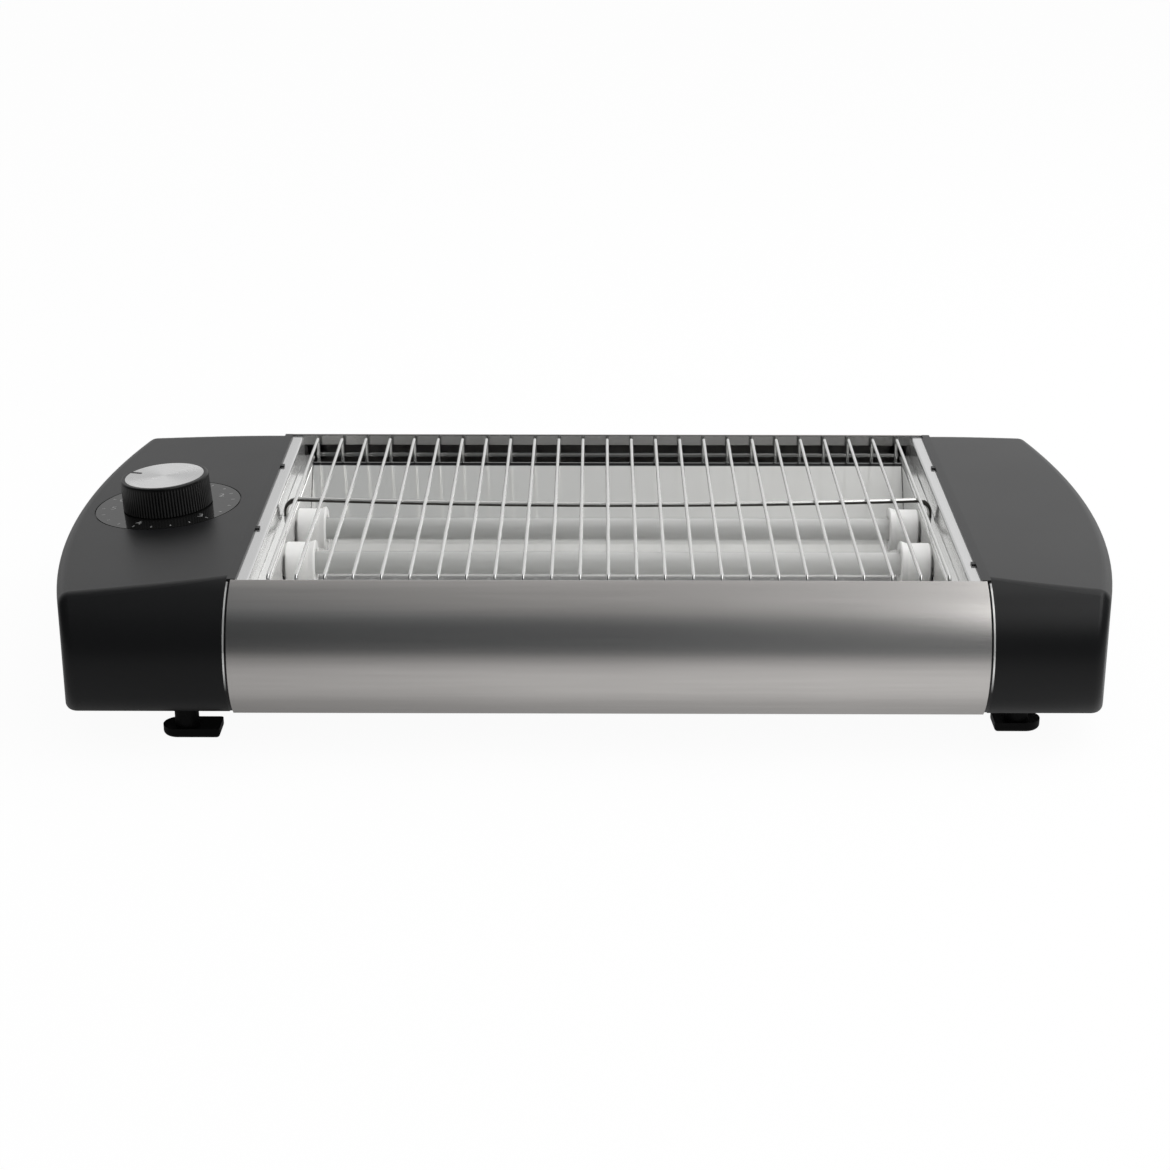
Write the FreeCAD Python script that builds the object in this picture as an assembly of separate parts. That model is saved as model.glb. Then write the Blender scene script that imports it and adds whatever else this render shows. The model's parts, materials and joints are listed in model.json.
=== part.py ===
import FreeCAD, Part
import math
import os
from FreeCAD import Placement, Rotation, Vector

os.makedirs("parts", exist_ok=True)

# Flat countertop toaster: two black end housings, brushed steel front and rear panels,
# a wire grill over two quartz heating tubes, and a crumb tray that slides out at the back.
# Millimetres. +X to the right, +Y to the back, +Z up, origin on the table under the middle.

# Overall form
top_height = 65.0
body_bottom = 13.7
overall_depth = 226.8
bulge_over_top_edge = 20.9
bulge_over_bottom_edge = 10.4
housing_slope = math.radians(3.6)
side_radius = 400.0

# Lengths along X: half the distance between the end plates, then what lies inside and outside it
frame_half = 146.0
left_housing_width = 76.3
right_housing_width = 57.3
panel_end_inset = 1.6
lip_inset = 3.3
shelf_width = 8.3
ledge_width = 4.9

# Housings
housing_step = 0.8
housing_wall = 2.5
housing_lip_thickness = 1.0
housing_crease_radius = 8.0
housing_edge_radius = 4.7
housing_foot_radius = 2.0
lug_reach = 1.6
lug_width = 2.8
lug_thickness = 0.8
left_lug_places_y = (48.0, -33.0)
right_lug_places_y = (46.5, -73.0)
boss_radius = 3.5
boss_inset_x = 9.0
boss_inset_y = 35.0
outer_boss_inset_x = 17.0
outer_boss_y = 34.0
pilot_radius = 1.3
pillar_radius = 4.0
pillar_inset_y = 32.5
pillar_rise = 13.3

# Base covers under the housings
cover_recess = 2.0
cover_thickness = 2.0
cover_gap = 0.3

# Feet
left_pad_length = 22.8
right_pad_length = 18.5
pad_depth = 12.5
pad_thickness = 4.0
pad_corner_radius = 1.2
pad_edge_radius = 1.6
left_foot_inset_u = 18.7
right_foot_inset_u = 14.7
left_foot_inset_y = 12.2
right_foot_inset_y = 19.8
stem_radius = 4.7
pad_past_stem = 4.7
plug_radius = 3.0
plug_length = 3.0
foot_bore_depth = 2.4
foot_screw_length = 13.0

# Sheet metal
panel_thickness = 0.6
panel_lip = 5.0
panel_flange = 10.0
panel_bend_radius = 0.5
frame_thickness = 0.6
frame_bend_radius = 0.5
frame_flange = 8.0
frame_gap = 0.1
frame_rise = 1.0
sheet_drill_length = 4.0
bottom_thickness = 0.6
bottom_gap = 0.4
bottom_side_gap = 1.4
air_slot_length = 36.0
air_slot_width = 4.0
air_slot_pitch_x = 50.0
air_slot_columns = 5
air_slot_pitch_y = 30.0
air_slot_rows = 4

# Reflectors
reflector_thickness = 0.5
reflector_bend_radius = 0.8
ledge_drop = 10.0
ledge_tuck = 1.0
ledge_depth = 11.7
ledge_bead = 0.9
reflector_run = 20.0
reflector_foot_flange = 8.0
reflector_end_gap = 0.2

# Crumb tray
tray_thickness = 0.6
tray_rim = 2.2
tray_front_gap = 1.8
tray_side_gap = 1.0
tray_top_gap = 0.6
rail_rise = 12.6
rail_reach = 5.0
end_wall_inset = 1.8
end_wall_notch = 0.2
tray_gap = 0.3
slot_gap = 0.7
slot_below_tray = 4.6
slot_above_tray = 1.6
handle_gap = 0.4
handle_lip_reach = 3.0
handle_lip_thickness = 0.8

# Wire grill
wire_pitch = 10.9
wire_end_room = 1.5
wire_radius = 0.75
wire_leg_inset = 5.5
wire_leg_below_ledge = 2.5
wire_bend_radius = 2.0
wire_hole_gap = 0.2
rod_radius = 1.0
rod_middle_y = 2.2
rod_bow_radius = 1340.0
rod_bend_radius = 5.7
rod_bend_inset = 2.6
rod_hole_gap = 0.3

# Heating tubes
tube_radius = 4.75
tube_wall = 1.0
tube_y = 21.0
tube_drop = 20.0
tube_end_inset = 5.3
coil_end_inset = 4.0
coil_gap = 0.2
coil_thickness = 1.0
cap_body_radius = 8.6
cap_lip_radius = 9.4
cap_lip_length = 2.6
cap_lip_bevel = 0.5
cap_mouth_bevel = 1.2
cap_foot_bevel = 0.8
cap_length = 12.6
cap_neck_radius = 5.5
cap_neck_length = 5.0
cap_bore_gap = 0.1
cap_hole_gap = 0.2
cap_slot_reach = 6.5
terminal_radius = 1.5
terminal_head_radius = 3.0
terminal_head_length = 2.0
jumper_thickness = 0.8
jumper_width = 6.0
terminal_depth = 3.0
lead_window_radius = 6.0

# Timer, dial and knob, placed from the middle of the left housing's width
knob_offset_x = 0.1
knob_y = 0.6
dial_radius = 30.0
dial_thickness = 0.6
dial_groove = 0.5
knob_base_radius = 18.5
knob_top_radius = 18.2
knob_height = 13.0
knob_clearance = 0.5
knob_wall = 2.2
knob_edge_radius = 0.8
knob_hub_radius = 5.0
knob_flutes = 90
knob_flute_depth = 0.35
knob_flute_top = 1.1
cap_disc_radius = 16.3
cap_disc_thickness = 0.8
cap_disc_gap = 0.1
pointer_angle = math.radians(156)
pointer_width = 0.9
pointer_depth = 0.3
pointer_inner = 11.6
pointer_outer = 16.8
spindle_radius = 3.0
spindle_flat = 2.2
spindle_depth = 14.0
spindle_fit = 0.05
spindle_end_gap = 1.0
spindle_flat_rise = 1.0
bushing_radius = 4.5
bushing_gap = 0.2
timer_length = 42.0
timer_width = 38.0
timer_depth = 19.0
timer_corner_radius = 4.0
timer_ear = 6.0
timer_ear_thickness = 1.2
timer_screw_radius = 1.5
timer_screw_head_radius = 2.7
timer_screw_length = 5.0

# Screws and rivets
screw_radius = 1.25
screw_head_radius = 2.8
screw_head_height = 1.8
screw_length = 9.0
rivet_radius = 1.5
rivet_head_radius = 2.6
rivet_head_height = 0.8

# Cord gland and terminal block in the left housing
gland_offset_x = 6.65
gland_rise = 13.3
gland_bore_radius = 3.5
gland_outer_radius = 6.0
gland_flange_radius = 8.0
gland_flange_thickness = 1.5
gland_proud = 1.3
gland_length = 10.7
gland_fit = 0.05
block_offset_x = 2.65
block_y = 34.0
block_length = 28.0
block_width = 17.0
block_height = 13.0
block_poles = 3
pole_hole_radius = 1.8
pole_screw_radius = 2.4
lead_radius = 1.2
lead_bend = 3.6
lead_gap = 0.3
lead_reach = 10.0
lead_shift_y = 11.0
lead_shift_z = 5.0
lead_lane = 9.0

# Margins of the shapes that only cut, and how near counts as touching
overshoot = 5.0
near = 0.01

# Lengths along X worked out from the driving dimensions
overall_length = left_housing_width + 2 * frame_half + right_housing_width
opening_centre_x = (left_housing_width - right_housing_width) / 2
left_middle_x = opening_centre_x - frame_half - left_housing_width / 2
panel_half = frame_half - panel_end_inset
lip_half = frame_half - lip_inset
shelf_half = frame_half - shelf_width
chamber_half = shelf_half - ledge_width
tray_half = chamber_half - tray_side_gap
tube_end_half = chamber_half - tube_end_inset
wires_each_side = int((chamber_half - wire_end_room) / wire_pitch)
wire_count = 2 * wires_each_side + 1
rod_bend_start = chamber_half - rod_bend_inset
knob_x = left_middle_x + knob_offset_x
gland_x = left_middle_x + gland_offset_x
block_x = left_middle_x + block_offset_x

# The bulge is the one arc through the top and bottom edges that just reaches the full depth
body_height = top_height - body_bottom
edge_step = bulge_over_top_edge - bulge_over_bottom_edge
edge_mean = math.sqrt(
    bulge_over_top_edge * bulge_over_bottom_edge * (body_height ** 2 + edge_step ** 2)
)
bulge_rise = (
    bulge_over_bottom_edge * (body_height ** 2 + bulge_over_top_edge * edge_step)
    / (edge_mean + bulge_over_bottom_edge * body_height)
)
bulge_radius = (bulge_rise ** 2 / bulge_over_bottom_edge + bulge_over_bottom_edge) / 2
bulge_centre_y = overall_depth / 2 - bulge_radius
bulge_centre_z = body_bottom + bulge_rise
top_edge_half_depth = overall_depth / 2 - bulge_over_top_edge
bottom_edge_half_depth = overall_depth / 2 - bulge_over_bottom_edge

# Places across the depth and heights
ledge_outer_y = top_edge_half_depth + ledge_tuck
ledge_inner_y = ledge_outer_y - ledge_depth
reflector_foot_y = ledge_inner_y - reflector_run
wire_leg_y = ledge_outer_y - wire_leg_inset
end_wall_half = ledge_inner_y - end_wall_inset
tray_front_y = tray_front_gap - reflector_foot_y
pillar_y = top_edge_half_depth - pillar_inset_y
pillar_z = body_bottom + pillar_rise
gland_z = body_bottom + gland_rise
shelf_top = top_height - housing_lip_thickness
ledge_height = top_height - ledge_drop
tube_z = top_height - tube_drop
rail_height = body_bottom + rail_rise
frame_bulge_radius = bulge_radius - panel_thickness - frame_gap
housing_bulge_radius = bulge_radius - housing_step
cover_low = body_bottom + cover_recess
cover_high = cover_low + cover_thickness
wire_top_z = top_height - wire_radius
rod_z = wire_top_z - wire_radius - rod_radius
tray_low = rail_height + tray_gap
tray_high = tray_low + tray_thickness + tray_rim
reflector_foot_height = tray_high + tray_top_gap
slot_low = tray_low - slot_below_tray
slot_high = tray_high + slot_above_tray
knob_drop = math.tan(housing_slope) * (opening_centre_x - frame_half - knob_x)
dial_origin = Vector(knob_x, knob_y, top_height - knob_drop)
dial_place = Placement(dial_origin, Rotation(Vector(0, 1, 0), -math.degrees(housing_slope)))
timer_low = -housing_wall - timer_depth
disc_low = knob_height - cap_disc_thickness
bore_top = disc_low - knob_wall
through = 2 * top_height

left = -1
right = 1
front = -1
rear = 1


def x_at(side, u):
    """X of a point that lies u outward from the middle of the opening."""
    return opening_centre_x + side * u


def depth_at(z, radius):
    """Y of the bulged front or rear at a height, for its own radius."""
    return bulge_centre_y + math.sqrt(radius ** 2 - (z - bulge_centre_z) ** 2)


def block(corner, other):
    """Box between two opposite corners, given in any order."""
    low = Vector(min(corner[0], other[0]), min(corner[1], other[1]), min(corner[2], other[2]))
    size = [abs(a - b) for a, b in zip(corner, other)]
    return Part.makeBox(size[0], size[1], size[2], low)


def cylinder(start, direction, radius, length):
    return Part.makeCylinder(radius, length, Vector(*start), Vector(*direction))


def line(start, end):
    return Part.LineSegment(start, end).toShape()


def rounded_edges(points, radii):
    """Edges of an open path whose inner corners are rounded, each to its own radius."""
    edges = []
    start = points[0]
    for before, corner, after, radius in zip(points, points[1:], points[2:], radii):
        way_in = (corner - before).normalize()
        way_out = (after - corner).normalize()
        half_turn = way_in.getAngle(way_out) / 2
        reach = radius * math.tan(half_turn)
        first = corner - way_in * reach
        last = corner + way_out * reach
        inward = (way_out - way_in).normalize()
        middle = corner + inward * (radius / math.cos(half_turn) - radius)
        edges.append(line(start, first))
        edges.append(Part.Arc(first, middle, last).toShape())
        start = last
    edges.append(line(start, points[-1]))
    return edges


def folded_sheet(points, thickness, hand, bend_radius, place, run):
    """Sheet folded along 2-D points, thickened to the left (hand 1) or right (hand -1)."""
    ways = []
    for (a, b), (c, d) in zip(points, points[1:]):
        length = math.hypot(c - a, d - b)
        ways.append(((c - a) / length, (d - b) / length))
    normals = [(-hand * q, hand * p) for p, q in ways]
    offset = [(points[0][0] + normals[0][0] * thickness, points[0][1] + normals[0][1] * thickness)]
    face_radii = []
    back_radii = []
    for index in range(1, len(points) - 1):
        (p0, q0), (p1, q1) = normals[index - 1], normals[index]
        scale = thickness / (1 + p0 * p1 + q0 * q1)
        corner = points[index]
        offset.append((corner[0] + (p0 + p1) * scale, corner[1] + (q0 + q1) * scale))
        turn = ways[index - 1][0] * ways[index][1] - ways[index - 1][1] * ways[index][0]
        inside = turn * hand > 0
        face_radii.append(bend_radius + (thickness if inside else 0))
        back_radii.append(bend_radius + (0 if inside else thickness))
    end = points[-1]
    offset.append((end[0] + normals[-1][0] * thickness, end[1] + normals[-1][1] * thickness))
    face_points = [place(*p) for p in points]
    back_points = [place(*p) for p in offset]
    edges = rounded_edges(face_points, face_radii)
    edges += rounded_edges(back_points, back_radii)
    edges.append(line(face_points[0], back_points[0]))
    edges.append(line(face_points[-1], back_points[-1]))
    wire = Part.Wire(Part.__sortEdges__(edges))
    return Part.Face(wire).extrude(run)


def round_bar(points, radius, bend):
    """Round bar along straight runs joined by tangent bends of one radius."""
    path = Part.Wire(rounded_edges(points, [bend] * (len(points) - 2)))
    circle = Part.makeCircle(radius, points[0], points[1] - points[0])
    return path.makePipeShell([Part.Wire(circle)], True, False)


def bulged_face(x, radius, low, high):
    """Cross-section between two heights, flat at top and bottom and bulged front and rear."""
    top_y = depth_at(high, radius)
    low_y = depth_at(low, radius)
    mid_y = bulge_centre_y + radius

    def at(y, z):
        return Vector(x, y, z)

    edges = [
        line(at(-top_y, high), at(top_y, high)),
        Part.Arc(at(top_y, high), at(mid_y, bulge_centre_z), at(low_y, low)).toShape(),
        line(at(low_y, low), at(-low_y, low)),
        Part.Arc(at(-low_y, low), at(-mid_y, bulge_centre_z), at(-top_y, high)).toShape(),
    ]
    return Part.Face(Part.Wire(edges))


def sloped_body(side, inset, low, start_u, end_u):
    """The section run outward, its top sinking away from the opening, set in by a wall."""
    high = top_height - inset
    face = bulged_face(x_at(side, start_u), housing_bulge_radius - inset, low, high)
    body = face.extrude(Vector(side * (end_u - start_u), 0, 0))
    sunk = high - math.tan(housing_slope) * (end_u - frame_half)
    wedge = Part.makePolygon([
        Vector(x_at(side, frame_half), -overall_length, high),
        Vector(x_at(side, end_u), -overall_length, sunk),
        Vector(x_at(side, end_u), -overall_length, 2 * top_height),
        Vector(x_at(side, frame_half), -overall_length, 2 * top_height),
        Vector(x_at(side, frame_half), -overall_length, high),
    ])
    return body.cut(Part.Face(wedge).extrude(Vector(0, 2 * overall_length, 0)))


def plan_prism(side, inset, start_u, low, high):
    """Upright prism whose outer side is the housing's long arc seen from above."""
    half = overall_depth / 2 + 2 * overshoot
    centre_x = side * (overall_length / 2 - side_radius)
    radius = side_radius - inset
    corner_x = centre_x + side * math.sqrt(radius ** 2 - half ** 2)
    start_x = x_at(side, start_u)
    outer_x = side * (overall_length / 2 - inset)
    edges = [
        line(Vector(start_x, -half, low), Vector(corner_x, -half, low)),
        Part.Arc(
            Vector(corner_x, -half, low), Vector(outer_x, 0, low), Vector(corner_x, half, low)
        ).toShape(),
        line(Vector(corner_x, half, low), Vector(start_x, half, low)),
        line(Vector(start_x, half, low), Vector(start_x, -half, low)),
    ]
    return Part.Face(Part.Wire(edges)).extrude(Vector(0, 0, high - low))


def on_dial(shape):
    """Turn a shape made round +Z at the origin onto the knob's own tilted axis."""
    placed = shape.copy()
    placed.Placement = dial_place.multiply(placed.Placement)
    return placed


def outer_u(side):
    """Outward distance of a housing's outermost point from the middle of the opening."""
    return overall_length / 2 - side * opening_centre_x


def boss_places(side):
    """Upright screw bosses between a housing's top and its base cover."""
    inner = x_at(side, frame_half + boss_inset_x)
    outer = side * (overall_length / 2 - outer_boss_inset_x)
    inner_y = bottom_edge_half_depth - boss_inset_y
    return [(inner, -inner_y), (inner, inner_y), (outer, outer_boss_y), (outer, -outer_boss_y)]


def foot_stem(side, end):
    """Centre of a foot's stem."""
    if side == left:
        inset_u, inset_y = left_foot_inset_u, left_foot_inset_y
    else:
        inset_u, inset_y = right_foot_inset_u, right_foot_inset_y
    return x_at(side, frame_half + inset_u), end * (bottom_edge_half_depth - inset_y)


def side_loop(shape, side, at_foot):
    """Edges that bound the long arc side of a housing: the lowest one, or all the others."""
    centre_x = side * (overall_length / 2 - side_radius)
    found = []
    for edge in shape.Edges:
        points = edge.discretize(5)
        on_side = all(abs(math.hypot(p.x - centre_x, p.y) - side_radius) < near for p in points)
        is_foot = all(abs(p.z - body_bottom) < near for p in points)
        if on_side and is_foot == at_foot:
            found.append(edge)
    return found


def crease_edges(shape, side):
    """The two edges where a housing's sloping top turns into its front and rear."""
    found = []
    for edge in shape.Edges:
        middle = edge.discretize(3)[1]
        sink = math.tan(housing_slope) * (side * (middle.x - opening_centre_x) - frame_half)
        on_top = abs(middle.z - (top_height - sink)) < near
        if on_top and abs(middle.y) > bulge_centre_y:
            found.append(edge)
    return found


def housing(side):
    """Moulded end housing, open below and towards the side frame."""
    reach_u = outer_u(side) + overshoot
    outside = sloped_body(side, 0, body_bottom, frame_half, reach_u)
    outside = outside.common(plan_prism(side, 0, frame_half, body_bottom, through))
    outside = outside.makeFillet(housing_crease_radius, crease_edges(outside, side))
    outside = outside.makeFillet(housing_edge_radius, side_loop(outside, side, False))
    outside = outside.makeFillet(housing_foot_radius, side_loop(outside, side, True))
    hollow = sloped_body(side, housing_wall, body_bottom - 1, frame_half - overshoot, reach_u)
    hollow = hollow.common(plan_prism(side, housing_wall, frame_half - overshoot, 0, through))
    shell = outside.cut(hollow)
    extras = []
    for x, y in boss_places(side):
        extras.append(cylinder((x, y, cover_high), (0, 0, 1), boss_radius, top_height))
    for y in (-pillar_y, pillar_y):
        start = (x_at(side, frame_half), y, pillar_z)
        extras.append(cylinder(start, (side, 0, 0), pillar_radius, overall_length))
    inner_fill = hollow.common(outside)
    posts = [extra.common(inner_fill) for extra in extras]
    shell = shell.fuse(posts)
    lip_edge = x_at(side, lip_half)
    lip = block(
        (x_at(side, frame_half + housing_wall), -top_edge_half_depth, shelf_top),
        (lip_edge, top_edge_half_depth, top_height),
    )
    lip = lip.cut(block(
        (x_at(side, frame_half), -overall_length, 0),
        (x_at(side, frame_half + 2 * housing_wall), overall_length, through),
    ))
    lugs = []
    for y in left_lug_places_y if side == left else right_lug_places_y:
        lugs.append(block(
            (lip_edge, y - lug_width / 2, shelf_top),
            (lip_edge - side * lug_reach, y + lug_width / 2, shelf_top + lug_thickness),
        ))
    shell = shell.fuse([lip] + lugs)
    drills = []
    for x, y in boss_places(side):
        drills.append(cylinder((x, y, body_bottom), (0, 0, 1), pilot_radius, 2 * screw_length))
    for y in (-pillar_y, pillar_y):
        start = (x_at(side, frame_half), y, pillar_z)
        drills.append(cylinder(start, (side, 0, 0), pilot_radius, 2 * screw_length))
    return shell.cut(drills).removeSplitter()


def left_housing():
    shell = housing(left)
    recess = cylinder((0, 0, -dial_thickness), (0, 0, 1), dial_radius + dial_groove, knob_height)
    neck_hole = cylinder(
        (0, 0, -3 * housing_wall), (0, 0, 1), bushing_radius + bushing_gap, knob_height
    )
    screw_holes = [
        countersunk(y, timer_screw_radius + bushing_gap, timer_screw_head_radius + bushing_gap)
        for y in timer_screw_places()
    ]
    shell = shell.cut([on_dial(recess), on_dial(neck_hole)] + [on_dial(h) for h in screw_holes])
    gland_hole = cylinder(
        (gland_x, top_edge_half_depth, gland_z),
        (0, 1, 0),
        gland_outer_radius + gland_fit,
        bulge_radius,
    )
    return shell.cut(gland_hole).removeSplitter()


def countersunk(y, radius, head_radius):
    """Screw with a countersunk head under the dial, or the hole for it."""
    head_height = head_radius - radius
    low = -dial_thickness - timer_screw_length
    shank = cylinder((0, y, low), (0, 0, 1), radius, timer_screw_length)
    head_low = Vector(0, y, -dial_thickness - head_height)
    return shank.fuse(Part.makeCone(radius, head_radius, head_height, head_low))


def timer_screw_places():
    """Distances of the timer's two screws from the spindle, along the dial."""
    reach = timer_width / 2 + timer_ear / 2
    return (-reach, reach)


def base_cover(side):
    """Flat cover set into the underside of a housing."""
    inset = housing_wall + cover_gap
    body = sloped_body(side, inset, body_bottom - 1, frame_half, outer_u(side) + overshoot)
    slab = plan_prism(side, inset, frame_half + cover_gap, cover_low, cover_high)
    cover = body.common(slab)
    drills = []
    for x, y in boss_places(side):
        drills.append(cylinder((x, y, 0), (0, 0, 1), screw_radius + cover_gap, top_height))
    for end in (front, rear):
        x, y = foot_stem(side, end)
        drills.append(cylinder((x, y, 0), (0, 0, 1), plug_radius, top_height))
    return cover.cut(drills)


def foot(side, end):
    """Foot with a round stem and a D-shaped pad, rounded along its lower edge."""
    stem_x, stem_y = foot_stem(side, end)
    pad_length = left_pad_length if side == left else right_pad_length
    round_radius = pad_depth / 2
    outer_x = stem_x + side * (stem_radius + pad_past_stem - round_radius)
    inner_x = outer_x - side * (pad_length - round_radius)
    points = [
        Vector(outer_x, stem_y - end * round_radius, 0),
        Vector(inner_x, stem_y - end * round_radius, 0),
        Vector(inner_x, stem_y + end * round_radius, 0),
        Vector(outer_x, stem_y + end * round_radius, 0),
    ]
    edges = rounded_edges(points, [pad_corner_radius, pad_corner_radius])
    cap = Vector(outer_x + side * round_radius, stem_y, 0)
    edges.append(Part.Arc(points[-1], cap, points[0]).toShape())
    pad = Part.Face(Part.Wire(Part.__sortEdges__(edges))).extrude(Vector(0, 0, pad_thickness))
    low_edges = [edge for edge in pad.Edges if edge.BoundBox.ZMax < near]
    pad = pad.makeFillet(pad_edge_radius, low_edges)
    stem = cylinder((stem_x, stem_y, 0), (0, 0, 1), stem_radius, cover_low)
    plug = cylinder((stem_x, stem_y, 0), (0, 0, 1), plug_radius, cover_low + plug_length)
    body = pad.fuse([stem, plug])
    drill = cylinder((stem_x, stem_y, 0), (0, 0, 1), screw_radius, top_height)
    counterbore = cylinder(
        (stem_x, stem_y, 0), (0, 0, 1), screw_head_radius + cover_gap, foot_bore_depth
    )
    return body.cut([drill, counterbore]).removeSplitter()


def screw(point, direction, length):
    """Round-headed screw: the point is under its head and the direction is into the work."""
    way = Vector(*direction)
    shank = Part.makeCylinder(screw_radius, length, Vector(*point), way)
    head = Part.makeCylinder(screw_head_radius, screw_head_height, Vector(*point), way * -1)
    return head.fuse(shank)


def foot_screws():
    found = []
    for side in (left, right):
        for end in (front, rear):
            x, y = foot_stem(side, end)
            found.append(screw((x, y, foot_bore_depth), (0, 0, 1), foot_screw_length))
    return found


def base_cover_screws():
    found = []
    for side in (left, right):
        for x, y in boss_places(side):
            found.append(screw((x, y, cover_low), (0, 0, 1), screw_length))
    return found


def housing_screws():
    """Screws that hold each side frame to the housing's pillars."""
    found = []
    for side in (left, right):
        for y in (-pillar_y, pillar_y):
            point = (x_at(side, frame_half - frame_thickness), y, pillar_z)
            found.append(screw(point, (side, 0, 0), screw_length))
    return found


def rod_turn(side):
    """Where the bowed cross rod's end starts to turn down, and the way it heads there."""
    turn = math.asin(rod_bend_start / rod_bow_radius)
    y = rod_middle_y + rod_bow_radius * (1 - math.cos(turn))
    way = Vector(side * math.cos(turn), math.sin(turn), 0)
    return Vector(x_at(side, rod_bend_start), y, rod_z), way


def rod_leg_place(side):
    """Middle of the cross rod's upright leg."""
    start, way = rod_turn(side)
    return start + way * rod_bend_radius


def sheet_drill(side, u, y, z, radius):
    """Cylinder along X that cuts a round hole in an upright sheet."""
    start = (x_at(side, u - sheet_drill_length / 2), y, z)
    return cylinder(start, (side, 0, 0), radius, sheet_drill_length)


def cap_slot(side, y):
    """Slot in the end wall for a holder's neck, open far enough to the front to lay it in."""
    radius = cap_neck_radius + cap_hole_gap
    hole = sheet_drill(side, chamber_half, y, tube_z, radius)
    far = sheet_drill(side, chamber_half, y - cap_slot_reach, tube_z, radius)
    reach = sheet_drill_length / 2
    between = block(
        (x_at(side, chamber_half - reach), y - cap_slot_reach, tube_z - radius),
        (x_at(side, chamber_half + reach), y, tube_z + radius),
    )
    return hole.fuse([far, between])


def side_frame(side):
    """Pressed steel end frame: end plate, flange under the panels, shelf, ledge and end wall."""
    low = body_bottom + frame_rise
    plate = bulged_face(x_at(side, frame_half), frame_bulge_radius, low, shelf_top)
    plate = plate.extrude(Vector(-side * frame_thickness, 0, 0))
    inner = bulged_face(
        x_at(side, frame_half),
        frame_bulge_radius - frame_thickness,
        body_bottom,
        shelf_top + frame_thickness / 2,
    )
    rim = bulged_face(x_at(side, frame_half), frame_bulge_radius, low, shelf_top)
    rim = rim.cut(inner).extrude(Vector(-side * frame_flange, 0, 0))
    fold = [
        (frame_half, shelf_top),
        (shelf_half, shelf_top),
        (shelf_half, ledge_height),
        (chamber_half, ledge_height),
        (chamber_half, rail_height),
        (chamber_half - rail_reach, rail_height),
    ]
    half_length = top_edge_half_depth - frame_gap

    def at(u, z):
        return Vector(x_at(side, u), -half_length, z)

    channel = folded_sheet(
        fold, frame_thickness, 1, frame_bend_radius, at, Vector(0, 2 * half_length, 0)
    )
    corner_cuts = []
    for end in (front, rear):
        corner_cuts.append(block(
            (x_at(side, shelf_half - end_wall_notch), end * end_wall_half, 0),
            (x_at(side, 0), end * overall_length, ledge_height - frame_thickness - end_wall_notch),
        ))
    channel = channel.cut(corner_cuts)
    frame = plate.fuse([rim, channel])
    drills = []
    for y in (-tube_y, tube_y):
        drills.append(cap_slot(side, y))
        drills.append(sheet_drill(side, frame_half, y, tube_z, lead_window_radius))
    for y in (-pillar_y, pillar_y):
        drills.append(sheet_drill(side, frame_half, y, pillar_z, screw_radius))
    leg = rod_leg_place(side)
    drills.append(cylinder(
        (leg.x, leg.y, ledge_height - wire_leg_below_ledge),
        (0, 0, 1),
        rod_radius + rod_hole_gap,
        ledge_drop / 2,
    ))
    return frame.cut(drills).removeSplitter()


def panel(end):
    """Brushed panel: folded lip at the top, bulged face, and a flange turned in at the bottom."""
    inner_radius = bulge_radius - panel_thickness
    low_y = depth_at(body_bottom, bulge_radius)
    inner_low_y = depth_at(body_bottom + panel_thickness, inner_radius)
    lip_back_y = top_edge_half_depth + panel_thickness
    lip_join_z = bulge_centre_z + math.sqrt(inner_radius ** 2 - (lip_back_y - bulge_centre_y) ** 2)
    start_x = x_at(left, panel_half)

    def at(y, z):
        return Vector(start_x, end * y, z)

    edges = [
        line(at(top_edge_half_depth, top_height - panel_lip), at(top_edge_half_depth, top_height)),
        Part.Arc(
            at(top_edge_half_depth, top_height),
            at(bulge_centre_y + bulge_radius, bulge_centre_z),
            at(low_y, body_bottom),
        ).toShape(),
        line(at(low_y, body_bottom), at(low_y - panel_flange, body_bottom)),
        line(
            at(low_y - panel_flange, body_bottom),
            at(low_y - panel_flange, body_bottom + panel_thickness),
        ),
        line(
            at(low_y - panel_flange, body_bottom + panel_thickness),
            at(inner_low_y, body_bottom + panel_thickness),
        ),
        Part.Arc(
            at(inner_low_y, body_bottom + panel_thickness),
            at(bulge_centre_y + inner_radius, bulge_centre_z),
            at(lip_back_y, lip_join_z),
        ).toShape(),
        line(at(lip_back_y, lip_join_z), at(lip_back_y, top_height - panel_lip)),
        line(
            at(lip_back_y, top_height - panel_lip), at(top_edge_half_depth, top_height - panel_lip)
        ),
    ]
    sheet = Part.Face(Part.Wire(edges)).extrude(Vector(2 * panel_half, 0, 0))
    corners = []
    for edge in sheet.Edges:
        ends = [vertex.Point for vertex in edge.Vertexes]
        at_top = all(abs(p.z - top_height) < near for p in ends)
        at_bottom = all(
            abs(p.z - body_bottom) < near and abs(abs(p.y) - low_y) < near for p in ends
        )
        if at_top or at_bottom:
            corners.append(edge)
    sheet = sheet.makeFillet(panel_bend_radius, corners)
    drills = [
        cylinder((x, end * rivet_y(), 0), (0, 0, 1), rivet_radius, bulge_centre_z)
        for x in rivet_places_x()
    ]
    return sheet.cut(drills)


def rivet_y():
    """Distance of the bottom rivets from the middle."""
    return depth_at(body_bottom, bulge_radius) - panel_flange / 2


def rivet_places_x():
    return [opening_centre_x + panel_half * share for share in (-0.85, -0.3, 0.3, 0.85)]


def rear_panel():
    """The rear panel has the slot for the crumb tray."""
    slot = block(
        (x_at(left, tray_half + slot_gap), bulge_centre_y, slot_low),
        (x_at(right, tray_half + slot_gap), overall_length, slot_high),
    )
    return panel(rear).cut(slot)


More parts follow.
